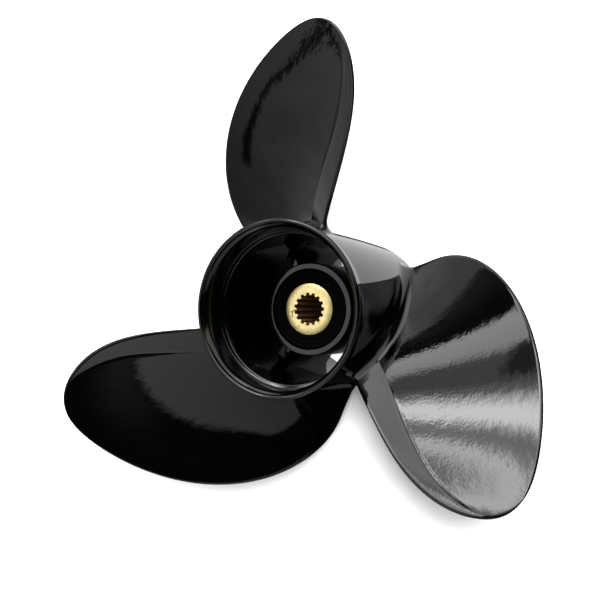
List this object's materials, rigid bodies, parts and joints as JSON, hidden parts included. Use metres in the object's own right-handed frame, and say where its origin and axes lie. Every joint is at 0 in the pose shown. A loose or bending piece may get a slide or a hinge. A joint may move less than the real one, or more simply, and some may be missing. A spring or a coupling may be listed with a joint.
{
  "type": "boat propeller",
  "caption": "Left-hand boat propeller in gloss black with a flared through-hub exhaust, broad cupped blades, a rubber bushing and a splined brass sleeve.",
  "frame": {"origin": "on the shaft axis, at the height of the centre of mass", "axes": "+Z runs along the shaft from the thrust end to the exhaust end, and is up as the propeller stands on the front end of its hub; +Y points along blade_1; the disc of the blades is widest near X"},
  "size_m": [0.312, 0.288, 0.132],
  "materials": {
    "casting_paint": "gloss black paint over cast aluminium",
    "bushing_rubber": "moulded matt black rubber",
    "sleeve_brass": "machined pale brass"
  },
  "bodies": {
    "root": {"outer_hub": "casting_paint", "inner_hub": "casting_paint", "rib_1": "casting_paint", "rib_2": "casting_paint", "rib_3": "casting_paint", "blade_1": "casting_paint", "blade_2": "casting_paint", "blade_3": "casting_paint", "rubber_bushing": "bushing_rubber", "splined_sleeve": "sleeve_brass"}
  },
  "joints": []
}
